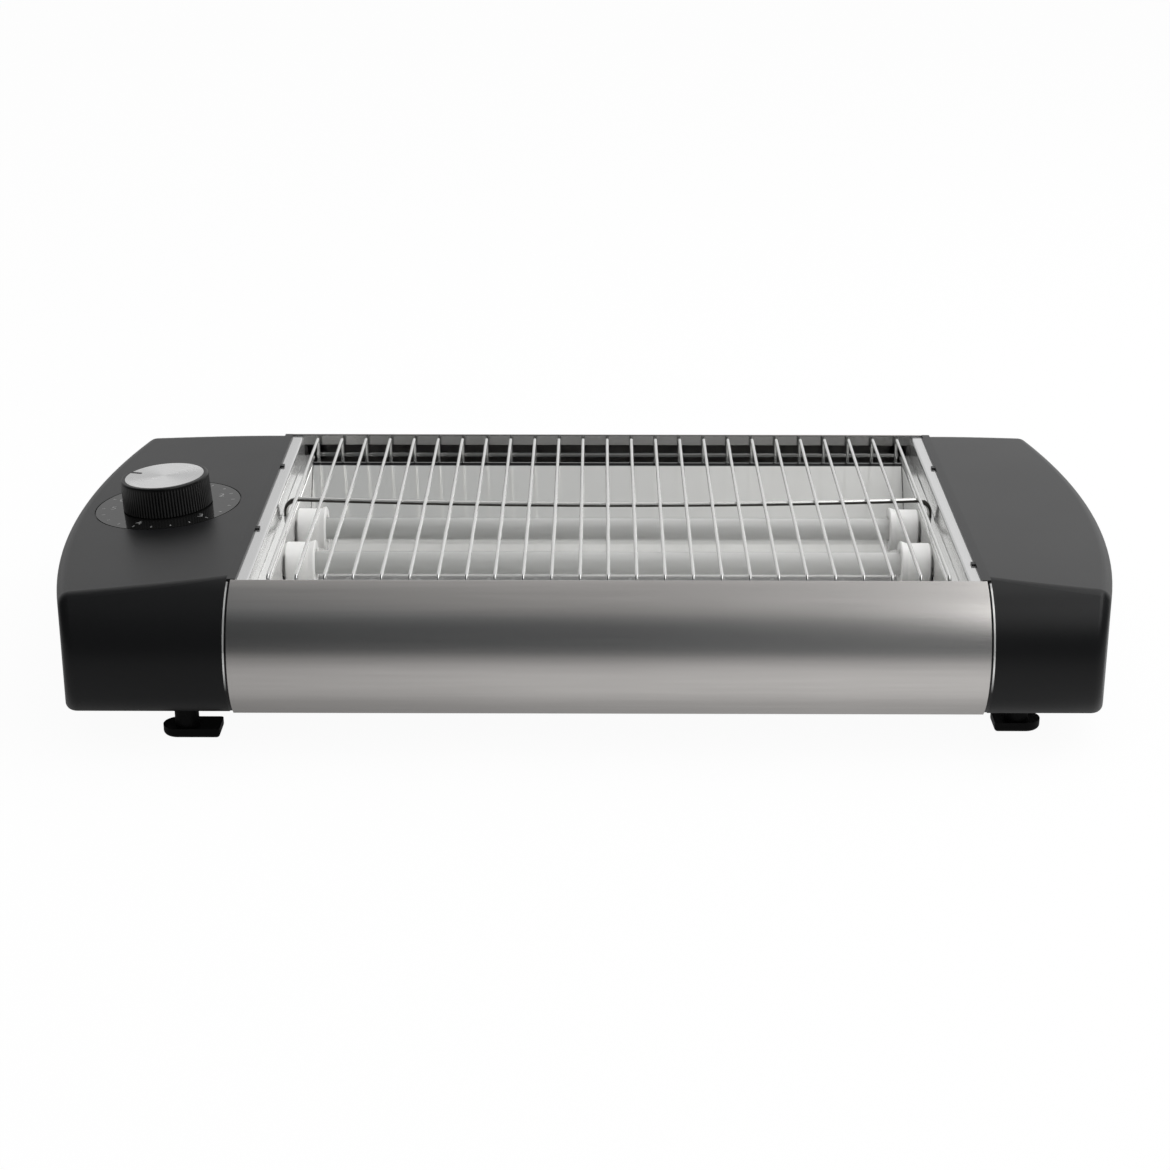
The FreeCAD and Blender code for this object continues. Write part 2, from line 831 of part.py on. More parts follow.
def bottom_plate():
    """Plate between the panels' bottom flanges, with rows of air slots."""
    low = body_bottom + panel_thickness
    half_y = depth_at(low + bottom_thickness, bulge_radius - panel_thickness) - bottom_side_gap
    half_x = frame_half - frame_thickness - bottom_gap
    plate = block(
        (x_at(left, half_x), -half_y, low), (x_at(right, half_x), half_y, low + bottom_thickness)
    )
    slots = []
    for row in range(air_slot_rows):
        y = air_slot_pitch_y * (row - (air_slot_rows - 1) / 2)
        for column in range(air_slot_columns):
            x = opening_centre_x + air_slot_pitch_x * (column - (air_slot_columns - 1) / 2)
            slots.append(block(
                (x - air_slot_length / 2, y - air_slot_width / 2, 0),
                (x + air_slot_length / 2, y + air_slot_width / 2, top_height),
            ))
    drills = [
        cylinder((x, end * rivet_y(), 0), (0, 0, 1), rivet_radius, bulge_centre_z)
        for x in rivet_places_x()
        for end in (front, rear)
    ]
    return plate.cut(slots + drills)


def bottom_rivets():
    """Blind rivets through the bottom plate and the panels' flanges."""
    found = []
    low = body_bottom
    grip = panel_thickness + bottom_thickness
    for x in rivet_places_x():
        for end in (front, rear):
            shank = cylinder((x, end * rivet_y(), low), (0, 0, 1), rivet_radius, grip)
            head = cylinder(
                (x, end * rivet_y(), low + grip), (0, 0, 1), rivet_head_radius, rivet_head_height
            )
            tail = cylinder(
                (x, end * rivet_y(), low - rivet_head_height),
                (0, 0, 1),
                rivet_head_radius,
                rivet_head_height,
            )
            found.append(shank.fuse([head, tail]).removeSplitter())
    return found


def wire_places_x():
    first = opening_centre_x - wire_pitch * (wire_count - 1) / 2
    return [first + wire_pitch * index for index in range(wire_count)]


def reflector(end):
    """Bright reflector: ledge with the wires' holes, sloping wall and a stiffening foot."""
    fold = [
        (ledge_outer_y, ledge_height + ledge_bead),
        (ledge_outer_y, ledge_height),
        (ledge_inner_y, ledge_height),
        (reflector_foot_y, reflector_foot_height),
        (reflector_foot_y + reflector_foot_flange, reflector_foot_height),
    ]
    half = chamber_half - reflector_end_gap

    def at(y, z):
        return Vector(x_at(left, half), end * y, z)

    sheet = folded_sheet(
        fold, reflector_thickness, 1, reflector_bend_radius, at, Vector(2 * half, 0, 0)
    )
    hole_low = ledge_height - wire_leg_below_ledge
    holes = [
        cylinder((x, end * wire_leg_y, hole_low), (0, 0, 1), wire_radius + wire_hole_gap, ledge_drop)
        for x in wire_places_x()
    ]
    return sheet.cut(holes)


def grill_wires():
    """Parallel wires, each bent down at both ends into the reflectors' ledges."""
    low = ledge_height - wire_leg_below_ledge
    found = []
    for x in wire_places_x():
        points = [
            Vector(x, -wire_leg_y, low),
            Vector(x, -wire_leg_y, wire_top_z),
            Vector(x, wire_leg_y, wire_top_z),
            Vector(x, wire_leg_y, low),
        ]
        found.append(round_bar(points, wire_radius, wire_bend_radius))
    return found


def grill_cross_rod():
    """Rod under the wires, bowed forward, with both ends bent down into the side frames."""
    low = ledge_height - wire_leg_below_ledge
    ends = []
    edges = []
    for side in (left, right):
        start, way = rod_turn(side)
        centre = start - Vector(0, 0, rod_bend_radius)
        middle = centre + (way + Vector(0, 0, 1)).normalize() * rod_bend_radius
        leg_top = centre + way * rod_bend_radius
        leg_foot = Vector(leg_top.x, leg_top.y, low)
        edges.append(line(leg_foot, leg_top))
        edges.append(Part.Arc(leg_top, middle, start).toShape())
        ends.append((start, leg_foot))
    middle = Vector(opening_centre_x, rod_middle_y, rod_z)
    edges.append(Part.Arc(ends[0][0], middle, ends[1][0]).toShape())
    path = Part.Wire(Part.__sortEdges__(edges))
    circle = Part.makeCircle(rod_radius, ends[0][1], Vector(0, 0, 1))
    return path.makePipeShell([Part.Wire(circle)], True, False)


def heating_tube(end):
    """Frosted quartz tube."""
    start = (x_at(left, tube_end_half), end * tube_y, tube_z)
    outside = cylinder(start, (1, 0, 0), tube_radius, 2 * tube_end_half)
    return outside.cut(cylinder(start, (1, 0, 0), tube_radius - tube_wall, 2 * tube_end_half))


def heating_coil(end):
    """Closed winding of the heating wire inside its tube."""
    radius = tube_radius - tube_wall - coil_gap
    half = tube_end_half - coil_end_inset
    start = (x_at(left, half), end * tube_y, tube_z)
    outside = cylinder(start, (1, 0, 0), radius, 2 * half)
    return outside.cut(cylinder(start, (1, 0, 0), radius - coil_thickness, 2 * half))


def ceramic_cap(side, end):
    """Spool-shaped ceramic holder: flared mouth, body against the end wall, neck through it."""
    face = chamber_half
    mouth = face - cap_length
    bore = tube_radius + cap_bore_gap
    hole = terminal_radius + cap_bore_gap
    profile = [
        (mouth, bore + cap_mouth_bevel),
        (mouth, cap_lip_radius - cap_lip_bevel),
        (mouth + cap_lip_bevel, cap_lip_radius),
        (mouth + cap_lip_length, cap_body_radius),
        (face - cap_foot_bevel, cap_body_radius),
        (face, cap_body_radius - cap_foot_bevel),
        (face, cap_neck_radius),
        (face + cap_neck_length, cap_neck_radius),
        (face + cap_neck_length, hole),
        (tube_end_half + cap_bore_gap, hole),
        (tube_end_half + cap_bore_gap, bore),
        (mouth + cap_mouth_bevel, bore),
    ]
    points = [Vector(x_at(side, u), end * tube_y, tube_z + r) for u, r in profile]
    wire = Part.makePolygon(points + [points[0]])
    axis_point = Vector(0, end * tube_y, tube_z)
    return Part.Face(wire).revolve(axis_point, Vector(1, 0, 0), 360)


def heater_terminals():
    """Terminal pins of the tubes, each with a round head behind its ceramic holder."""
    found = []
    neck_end = chamber_half + cap_neck_length
    for side in (left, right):
        for end in (front, rear):
            pin = cylinder(
                (x_at(side, tube_end_half - terminal_depth), end * tube_y, tube_z),
                (side, 0, 0),
                terminal_radius,
                neck_end + terminal_head_length - tube_end_half + terminal_depth,
            )
            head = cylinder(
                (x_at(side, neck_end), end * tube_y, tube_z),
                (side, 0, 0),
                terminal_head_radius,
                terminal_head_length,
            )
            found.append(pin.fuse(head))
    return found


def jumper_strip():
    """Strip that joins the two tubes' terminals at the right end."""
    start = chamber_half + cap_neck_length + terminal_head_length
    return block(
        (x_at(right, start), -tube_y - jumper_width / 2, tube_z - jumper_width / 2),
        (x_at(right, start + jumper_thickness), tube_y + jumper_width / 2, tube_z + jumper_width / 2),
    )


def crumb_tray():
    """Shallow tray: floor, low rims at the front and sides, and a tongue out to the rear slot."""
    tongue_end = depth_at(tray_low, bulge_radius - panel_thickness)
    floor = block(
        (x_at(left, tray_half), tray_front_y, tray_low),
        (x_at(right, tray_half), tongue_end, tray_low + tray_thickness),
    )
    rims = [
        block(
            (x_at(left, tray_half), tray_front_y, tray_low),
            (x_at(right, tray_half), tray_front_y + tray_thickness, tray_high),
        )
    ]
    for side in (left, right):
        rims.append(block(
            (x_at(side, tray_half), tray_front_y, tray_low),
            (x_at(side, tray_half - tray_thickness), tongue_end, tray_high),
        ))
    return floor.fuse(rims).removeSplitter()


def tray_handle():
    """Strip that closes the rear slot flush with the panel, with a finger lip at its foot."""
    low = slot_low + handle_gap
    high = slot_high - handle_gap
    inner_radius = bulge_radius - panel_thickness
    middle = (low + high) / 2
    start_x = x_at(left, tray_half)
    low_y = depth_at(low, bulge_radius)

    def at(y, z):
        return Vector(start_x, y, z)

    edges = [
        Part.Arc(
            at(low_y, low),
            at(depth_at(middle, bulge_radius), middle),
            at(depth_at(high, bulge_radius), high),
        ).toShape(),
        line(at(depth_at(high, bulge_radius), high), at(depth_at(high, inner_radius), high)),
        Part.Arc(
            at(depth_at(high, inner_radius), high),
            at(depth_at(middle, inner_radius), middle),
            at(depth_at(low, inner_radius), low),
        ).toShape(),
        line(at(depth_at(low, inner_radius), low), at(low_y, low)),
    ]
    strip = Part.Face(Part.Wire(edges)).extrude(Vector(2 * tray_half, 0, 0))
    lip = block(
        (start_x, depth_at(low, inner_radius), low),
        (x_at(right, tray_half), low_y + handle_lip_reach, low + handle_lip_thickness),
    )
    return strip.fuse(lip).removeSplitter()


def cord_gland():
    """Bushing in the housing's rear wall, kept by a flange on the inside; its bore is empty."""
    outer_y = depth_at(gland_z, housing_bulge_radius) + gland_proud
    inner_y = outer_y - gland_length
    body = cylinder((gland_x, inner_y, gland_z), (0, 1, 0), gland_outer_radius, gland_length)
    flange = cylinder(
        (gland_x, inner_y, gland_z), (0, 1, 0), gland_flange_radius, gland_flange_thickness
    )
    bore = cylinder((gland_x, inner_y, gland_z), (0, 1, 0), gland_bore_radius, gland_length)
    return body.fuse(flange).cut(bore)


def pole_places_x():
    """Middles of the terminal block's poles."""
    pitch = block_length / block_poles
    return [block_x + pitch * (index - (block_poles - 1) / 2) for index in range(block_poles)]


def terminal_block():
    """Terminal block on the base cover, with a wire hole and a screw well in each pole."""
    body = block(
        (block_x - block_length / 2, block_y - block_width / 2, cover_high),
        (block_x + block_length / 2, block_y + block_width / 2, cover_high + block_height),
    )
    drills = []
    for x in pole_places_x():
        drills.append(cylinder(
            (x, block_y - block_width, cover_high + block_height / 3), (0, 1, 0),
            pole_hole_radius, 2 * block_width,
        ))
        drills.append(cylinder(
            (x, block_y, cover_high + block_height / 2), (0, 0, 1), pole_screw_radius, block_height
        ))
    return body.cut(drills)


def internal_leads():
    """Insulated leads: block to timer, timer to the front tube, rear tube to the block."""
    head_u = chamber_half + cap_neck_length + terminal_head_length
    terminal_x = x_at(left, head_u)
    inside_x = x_at(left, frame_half + boss_inset_x)
    block_side_y = block_y - block_width / 2
    pole_z = cover_high + block_height / 3
    first_x = pole_places_x()[0]
    last_x = pole_places_x()[-1]
    underside = dial_place.multVec(Vector(first_x - knob_x, 0, timer_low))
    lead_z = tube_z + lead_shift_z
    timer_side = dial_place.multVec(Vector(timer_length / 2, 0, lead_z - dial_origin.z))
    to_timer = [
        Vector(first_x, block_side_y, pole_z),
        Vector(first_x, block_side_y - lead_reach, pole_z),
        Vector(first_x, block_side_y - lead_reach, underside.z - lead_gap),
    ]
    to_front_tube = [
        Vector(terminal_x, -tube_y, tube_z),
        Vector(inside_x, -tube_y, tube_z),
        Vector(inside_x, -tube_y + lead_shift_y, lead_z),
        Vector(timer_side.x + lead_gap, -tube_y + lead_shift_y, lead_z),
    ]
    to_rear_tube = [
        Vector(terminal_x, tube_y, tube_z),
        Vector(inside_x, tube_y, tube_z),
        Vector(inside_x, block_side_y - lead_lane, pole_z),
        Vector(last_x, block_side_y - lead_lane, pole_z),
        Vector(last_x, block_side_y, pole_z),
    ]
    routes = (to_timer, to_front_tube, to_rear_tube)
    return [round_bar(points, lead_radius, lead_bend) for points in routes]


def dial_plate():
    """Glossy dial set flush into the housing's top."""
    disc = cylinder((0, 0, -dial_thickness), (0, 0, 1), dial_radius, dial_thickness)
    hole = cylinder((0, 0, -dial_thickness), (0, 0, 1), bushing_radius + bushing_gap, dial_thickness)
    return on_dial(disc.cut(hole))


def timer_case():
    """Clockwork timer under the housing's top: case, fixing ears and threaded neck."""
    top = -housing_wall
    case = block(
        (-timer_length / 2, -timer_width / 2, timer_low), (timer_length / 2, timer_width / 2, top)
    )
    upright = [
        edge for edge in case.Edges
        if abs(edge.Vertexes[0].Z - edge.Vertexes[1].Z) > 1
    ]
    case = case.makeFillet(timer_corner_radius, upright)
    ears = block(
        (-timer_ear, -timer_width / 2 - timer_ear, top - timer_ear_thickness),
        (timer_ear, timer_width / 2 + timer_ear, top),
    )
    neck = cylinder((0, 0, top), (0, 0, 1), bushing_radius, housing_wall)
    drills = [
        cylinder((0, y, timer_low), (0, 0, 1), timer_screw_radius, through)
        for y in timer_screw_places()
    ]
    bore = cylinder((0, 0, -spindle_depth), (0, 0, 1), spindle_radius + spindle_fit, through)
    return on_dial(case.fuse([ears, neck]).cut(drills + [bore]).removeSplitter())


def timer_screws():
    """Countersunk screws from above, under the dial plate, into the timer's ears."""
    return [
        on_dial(countersunk(y, timer_screw_radius, timer_screw_head_radius))
        for y in timer_screw_places()
    ]


def timer_spindle():
    """Spindle of the timer, with a flat that drives the knob."""
    low = spindle_end_gap - spindle_depth
    shaft = cylinder((0, 0, low), (0, 0, 1), spindle_radius, bore_top - low)
    return on_dial(shaft.cut(spindle_flat_block()))


def spindle_flat_block():
    """What the flat takes off the spindle, and what stays solid in the knob's bore."""
    return block(
        (spindle_flat, -knob_hub_radius, knob_clearance + spindle_flat_rise),
        (knob_hub_radius, knob_hub_radius, knob_height),
    )


def timer_knob():
    """Fluted knob, hollow underneath, with a hub on the spindle and a recess for its disc."""
    low = knob_clearance
    ridge = knob_base_radius + 1
    valley = knob_base_radius - knob_flute_depth
    flute_corners = ((0.0, ridge), (0.25, ridge), (0.625, valley))
    body = Part.makeCone(knob_base_radius, knob_top_radius, knob_height - low, Vector(0, 0, low))
    top_edges = [
        edge for edge in body.Edges
        if all(abs(p.z - knob_height) < near for p in edge.discretize(3))
    ]
    body = body.makeFillet(knob_edge_radius, top_edges)
    flute_high = knob_height - knob_flute_top
    points = []
    for index in range(knob_flutes):
        for share, radius in flute_corners:
            angle = 2 * math.pi * (index + share) / knob_flutes
            points.append(Vector(radius * math.cos(angle), radius * math.sin(angle), 0))
    star = Part.Face(Part.makePolygon(points + [points[0]])).extrude(Vector(0, 0, flute_high))
    upper = cylinder((0, 0, flute_high), (0, 0, 1), knob_base_radius + overshoot, knob_height)
    body = body.common(star.fuse(upper))
    recess = cylinder((0, 0, disc_low), (0, 0, 1), cap_disc_radius + cap_disc_gap, knob_height)
    hollow_radius = knob_base_radius - knob_flute_depth - knob_wall
    hollow = cylinder((0, 0, 0), (0, 0, 1), hollow_radius, bore_top)
    hub = cylinder((0, 0, low), (0, 0, 1), knob_hub_radius, disc_low - low - knob_wall / 2)
    bore = cylinder((0, 0, 0), (0, 0, 1), spindle_radius, bore_top).cut(spindle_flat_block())
    return on_dial(body.cut([recess, hollow]).fuse(hub).cut(bore).removeSplitter())


def knob_disc():
    """Brushed disc in the knob's top, with the pointer line cut into it."""
    disc = cylinder((0, 0, disc_low), (0, 0, 1), cap_disc_radius, cap_disc_thickness)
    groove = block(
        (pointer_inner, -pointer_width / 2, knob_height - pointer_depth),
        (pointer_outer, pointer_width / 2, 2 * knob_height),
    )
    groove.rotate(Vector(0, 0, 0), Vector(0, 0, 1), math.degrees(pointer_angle))
    return on_dial(disc.cut(groove))


def export(name, shape):
    """Write one node; a list becomes a group of separate solids."""
    if isinstance(shape, list):
        shape = Part.makeCompound(shape)
    shape.exportStep("parts/" + name + ".step")
    print(name, len(shape.Solids), "solids", round(shape.Volume), "mm3, valid:", shape.isValid())


export("left_housing", left_housing())
export("right_housing", housing(right))
for side, side_name in ((left, "left"), (right, "right")):
    export(side_name + "_base_cover", base_cover(side))
    export(side_name + "_side_frame", side_frame(side))
    for end, end_name in ((front, "front"), (rear, "rear")):
        export(end_name + "_" + side_name + "_foot", foot(side, end))
        export(end_name + "_" + side_name + "_ceramic_cap", ceramic_cap(side, end))
export("foot_screws", foot_screws())
export("base_cover_screws", base_cover_screws())
export("housing_screws", housing_screws())
export("front_panel", panel(front))
export("rear_panel", rear_panel())
export("bottom_plate", bottom_plate())
export("bottom_rivets", bottom_rivets())
for end, end_name in ((front, "front"), (rear, "rear")):
    export(end_name + "_reflector", reflector(end))
    export(end_name + "_heating_tube", heating_tube(end))
    export(end_name + "_heating_coil", heating_coil(end))
export("grill_wires", grill_wires())
export("grill_cross_rod", grill_cross_rod())
export("heater_terminals", heater_terminals())
export("jumper_strip", jumper_strip())
export("crumb_tray", crumb_tray())
export("tray_handle", tray_handle())
export("cord_gland", cord_gland())
export("terminal_block", terminal_block())
export("internal_leads", internal_leads())
export("dial_plate", dial_plate())
export("timer_case", timer_case())
export("timer_screws", timer_screws())
export("timer_spindle", timer_spindle())
export("timer_knob", timer_knob())
export("knob_disc", knob_disc())
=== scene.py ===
import json
import math

import bmesh
import bpy
from mathutils import Euler, Matrix, Vector


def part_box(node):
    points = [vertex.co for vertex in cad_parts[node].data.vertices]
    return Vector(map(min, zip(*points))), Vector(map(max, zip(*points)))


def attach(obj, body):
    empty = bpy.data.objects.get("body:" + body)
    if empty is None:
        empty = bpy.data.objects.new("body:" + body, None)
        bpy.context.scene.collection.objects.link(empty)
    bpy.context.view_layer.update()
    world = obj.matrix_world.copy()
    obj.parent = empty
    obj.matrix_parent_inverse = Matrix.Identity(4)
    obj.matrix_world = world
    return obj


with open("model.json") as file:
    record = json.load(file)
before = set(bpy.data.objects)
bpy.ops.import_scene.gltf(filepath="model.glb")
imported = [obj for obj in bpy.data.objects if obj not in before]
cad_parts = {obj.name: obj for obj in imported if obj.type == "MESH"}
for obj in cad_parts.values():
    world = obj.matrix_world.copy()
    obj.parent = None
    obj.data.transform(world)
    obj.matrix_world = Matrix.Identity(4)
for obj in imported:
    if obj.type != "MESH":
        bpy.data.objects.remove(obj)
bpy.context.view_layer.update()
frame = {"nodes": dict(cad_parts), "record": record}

# Flat toaster. Metres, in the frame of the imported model: +X right, +Y back, +Z up.
# Four numbers in one tuple are a window: 0 up to the first, 1 from the second to the third, and
# 0 again from the fourth.

nodes_of = frame["nodes"]

# Camera
camera_place = Vector((0.0056, -0.9426, 0.3891))
camera_pitch = math.radians(21.0)
camera_yaw = math.radians(0.34)
camera_lens = 73.35
camera_sensor = 36.0
camera_near = 0.01
camera_far = 50.0

# Surroundings. The ambient light that diffuse surfaces get grows from left to right.
ambient_left = 0.43
ambient_right = 1.0

# What mirrors see of the surroundings. Places in it are parts of a direction of length 1.
near_side_begins_y = 0.85
near_side_whole_y = 0.2
rear_left = 0.74
rear_right = 1.0
rear_reach = 0.3
near_side_low = 0.115
near_side_high = 0.43
near_side_low_z = 0.7
near_side_high_z = 1.02
near_side_left = 0.3
near_side_right = 1.6
near_side_reach = 0.25
softbox_glow = 3.2
softbox_across = (0.145, 0.22, 0.5, 0.6)
softbox_upright = (0.4, 0.85, 0.93, 1.0)
cool_tint = (0.94, 1.0, 1.04)
cool_whole_below = 0.12
cool_ends_at = 0.3

# Floor: its own colour, then what the camera and mirrors see of it
floor_size = 12.0
floor_colour = 0.9
floor_shown = 0.95
floor_mirrored = 0.75
floor_glow_far = 0.2
floor_glow_near = 0.65
floor_far_y = -0.36
floor_near_y = -0.155
# painted shadow of the object in what mirrors see of the floor, just in front of it
floor_painted_shadow = 0.75
floor_painted_shadow_begins_y = -0.121
floor_painted_shadow_ends_y = -0.114
floor_glow_left = 0.6
floor_glow_right = 1.04
floor_left_x = -0.15
floor_right_x = 0.1

# Lamps: place, aim, width and height, watts
side_softbox = ((1.1, 0.3, 1.0), (0, 0, 0.05), (1.2, 1.0), 7.5)
overhead_softbox = ((0.2, -0.1, 0.8), (0.05, 0, 0.05), (0.8, 0.6), 1.8)

# Depth of the fine relief on each surface
mould_relief = 0.00002
brushed_streak_relief = 0.000003
brushed_scratch_relief = 0.000004
reflector_relief = 0.000002
frame_relief = 0.000003
frame_waviness = 0.0002
sheet_relief = 0.000004
turned_relief = 0.000006
knob_relief = 0.00001

# Heights and places where a finish changes, or where painted shade or painted light lies
ledge_begins_z = 0.0538
ledge_whole_z = 0.0544
# the bend below the ledge gets a dark band of painted shade
ledge_bend_shade_z = (0.0536, 0.0540, 0.05485, 0.05495)
# the reflector wall's metallic share falls from here to the right, painted light that brightens
# its right end
wall_painted_light_begins_x = -0.06
wall_painted_light_whole_x = 0.12
flange_begins_z = 0.0625
flange_whole_z = 0.0632
# painted shade: a dark strip in the seams beside the panels, and on the frames' low parts outside
# them
seam_shade_width = 0.0010
seam_shade_edge = 0.0001
frame_shade_below_z = 0.026
frame_shade_ends_z = 0.036
# painted light on the heating tubes: lighter from here to the right
tube_painted_light_begins_x = -0.12
tube_painted_light_whole_x = 0.12

# Dial: radii in metres, and the pointer's angle, counted from +X towards +Y
number_radius = 0.0229
number_size = 0.0052
number_half_thickness = 0.00002
number_lift = 0.00001
number_boldness = 0.00006
tick_inner = 0.0262
tick_outer = 0.0278
tick_width = 0.0006
tick_low = -0.00002
tick_high = 0.00003
ticks_per_step = 4
dial_steps = 5
dial_turn = math.radians(-67)
dial_start = math.radians(156)

# Knob: its flutes, and the line on its disc
knob_top = 0.013
knob_flutes = 90
ridge_middle = 0.125
ridge_window = (0.2, 0.38, 0.62, 0.8)
flutes_fade_from = 0.0016
flutes_end = 0.0008
pointer_inner = 0.0112
pointer_outer = 0.0163
pointer_width = 0.0015
pointer_proud = 0.00005

# Dark crosses of painted shade in the heads of the screws on the underside, for their cross
# recesses
drive_reach = 0.0012
drive_width = 0.0006
drive_turn = 0.4
drive_proud = 0.00002
drive_depth = 0.0002

bar_end_steps = 6
same_corner = 1e-6


def grey(value):
    return (value, value, value)


def build_camera():
    data = bpy.data.cameras.new("camera")
    data.sensor_width = camera_sensor
    data.lens = camera_lens
    data.clip_start = camera_near
    data.clip_end = camera_far
    camera = bpy.data.objects.new("camera", data)
    bpy.context.scene.collection.objects.link(camera)
    camera.location = camera_place
    camera.rotation_euler = Euler((math.pi / 2 - camera_pitch, 0.0, camera_yaw), "XYZ")
    bpy.context.scene.camera = camera


class Shading:
    """A node tree with short ways to add nodes."""

    def __init__(self, tree):
        self.tree = tree
        self.coordinates = None

    def node(self, kind, **settings):
        made = self.tree.nodes.new(kind)
        for key, value in settings.items():
            setattr(made, key, value)
        return made

    def feed(self, socket, value):
        """Link an output, or set a plain value."""
        if hasattr(value, "links"):
            self.tree.links.new(value, socket)
        elif socket.type == "RGBA" and len(value) == 3:
            socket.default_value = (*value, 1)
        else:
            socket.default_value = value

    def texture(self, output):
        """One of the texture coordinates."""
        if self.coordinates is None:
            self.coordinates = self.node("ShaderNodeTexCoord")
        return self.coordinates.outputs[output]

    def split(self, vector):
        """X, Y and Z of a vector."""
        parts = self.node("ShaderNodeSeparateXYZ")
        self.feed(parts.inputs[0], vector)
        return [parts.outputs[name] for name in "XYZ"]

    def noise(self, scale, stretch=(1, 1, 1), detail=2.0, roughness=0.5):
        """Noise in object coordinates, stretched."""
        mapping = self.node("ShaderNodeMapping")
        mapping.inputs["Scale"].default_value = stretch
        self.feed(mapping.inputs["Vector"], self.texture("Object"))
        texture = self.node("ShaderNodeTexNoise")
        texture.inputs["Scale"].default_value = scale
        texture.inputs["Detail"].default_value = detail
        texture.inputs["Roughness"].default_value = roughness
        self.feed(texture.inputs["Vector"], mapping.outputs["Vector"])
        return texture.outputs["Fac"]

    def cloud(self, scale):
        """Soft patches."""
        return self.noise(scale, detail=3.0)

    def lines(self, *stretch, roughness=0.5):
        """Fine lines along the axis that is stretched least."""
        return self.noise(1.0, stretch=stretch, detail=3.0, roughness=roughness)

    def span(self, value, low, high, start=0.0, end=1.0, kind="LINEAR"):
        """Map a value that runs from start to end onto low to high."""
        ranged = self.node("ShaderNodeMapRange", interpolation_type=kind)
        names = ("From Min", "From Max", "To Min", "To Max")
        for name, number in zip(names, (start, end, low, high)):
            ranged.inputs[name].default_value = number
        self.feed(ranged.inputs["Value"], value)
        return ranged.outputs["Result"]

    def window(self, value, rise, full, still, gone):
        """0 up to rise, 1 from full to still, and 0 again from gone."""
        up = self.span(value, 0.0, 1.0, rise, full, "SMOOTHSTEP")
        return self.maths("MULTIPLY", up, self.span(value, 1.0, 0.0, still, gone, "SMOOTHSTEP"))

    def maths(self, operation, first, second=0.0):
        made = self.node("ShaderNodeMath", operation=operation)
        self.feed(made.inputs[0], first)
        self.feed(made.inputs[1], second)
        return made.outputs[0]

    def blend(self, factor, first, second):
        """Mix two colours."""
        made = self.node("ShaderNodeMix", data_type="RGBA")
        self.feed(made.inputs["Factor"], factor)
        self.feed(made.inputs[6], first)
        self.feed(made.inputs[7], second)
        return made.outputs[2]

    def mix(self, factor, first, second):
        """Mix two plain values."""
        made = self.node("ShaderNodeMix")
        self.feed(made.inputs["Factor"], factor)
        self.feed(made.inputs[2], first)
        self.feed(made.inputs[3], second)
        return made.outputs[0]

    def bump(self, height, distance, below=None):
        made = self.node("ShaderNodeBump")
        made.inputs["Distance"].default_value = distance
        made.inputs["Strength"].default_value = 1.0
        self.feed(made.inputs["Height"], height)
        if below is not None:
            self.feed(made.inputs["Normal"], below)
        return made.outputs["Normal"]

    def radial_tangent(self, axis):
        return self.node("ShaderNodeTangent", direction_type="RADIAL", axis=axis).outputs[0]

    def seen_directly(self):
        """1 for camera, glossy and transmission rays, 0 for diffuse light; then camera rays."""
        path = self.node("ShaderNodeLightPath")
        by_camera = path.outputs["Is Camera Ray"]
        seen = self.maths("MAXIMUM", by_camera, path.outputs["Is Glossy Ray"])
        return self.maths("MAXIMUM", seen, path.outputs["Is Transmission Ray"]), by_camera


class Finish(Shading):
    """A material with a Principled surface."""

    def __init__(self, name):
        self.material = bpy.data.materials.new(name)
        self.material.use_nodes = True
        super().__init__(self.material.node_tree)
        self.surface = self.tree.nodes["Principled BSDF"]
        self.output = self.tree.nodes["Material Output"]

    def set(self, **values):
        for name, value in values.items():
            self.feed(self.surface.inputs[name.replace("_", " ")], value)


def dress(finish, *names):
    """Give CAD nodes a material."""
    for name in names:
        slots = nodes_of[name].data.materials
        slots.clear()
        slots.append(finish.material)


def black_plastic():
    """Moulded housing: fine matt texture, slightly uneven gloss."""
    f = Finish("black_plastic")
    cloud = f.cloud(18.0)
    f.set(Base_Color=f.blend(cloud, (0.0058, 0.0060, 0.0064), (0.0072, 0.0074, 0.0079)))
    f.set(Roughness=f.span(cloud, 0.3, 0.36), Specular_IOR_Level=0.185)
    f.set(Normal=f.bump(f.cloud(2600.0), mould_relief))
    return f


def brushed_steel(name="brushed_steel"):
    """Sheet brushed along X, which smears mirror images up and down."""
    f = Finish(name)
    scratch = f.lines(14, 3200, 3200, roughness=0.6)
    streak = f.lines(16, 560, 560)
    cloud = f.lines(12, 60, 60)
    tone = f.maths("ADD", f.maths("MULTIPLY", streak, 0.45), f.maths("MULTIPLY", cloud, 0.55))
    tone = f.span(tone, 0.0, 1.0, 0.3, 0.7)
    f.set(Metallic=1.0, Base_Color=f.blend(tone, (0.598, 0.578, 0.562), (0.663, 0.642, 0.624)))
    f.set(Roughness=f.span(scratch, 0.18, 0.26))
    below = f.bump(scratch, brushed_scratch_relief)
    f.set(Normal=f.bump(streak, brushed_streak_relief, below=below))
    f.set(Anisotropic=0.8, Tangent=f.radial_tangent("X"))
    return f


def lip_steel():
    """Brushed steel, darker on the faces of its lip that are turned to the heating chamber."""
    f = brushed_steel("brushed_steel_dark_lip")
    toward_back = f.split(f.texture("Normal"))[1]
    inward = f.span(toward_back, 1.0, 0.0, -0.9, -0.6, "SMOOTHSTEP")
    steel = f.surface.inputs["Base Color"].links[0].from_socket
    f.set(Base_Color=f.blend(inward, steel, (0.42, 0.417, 0.412)))
    return f


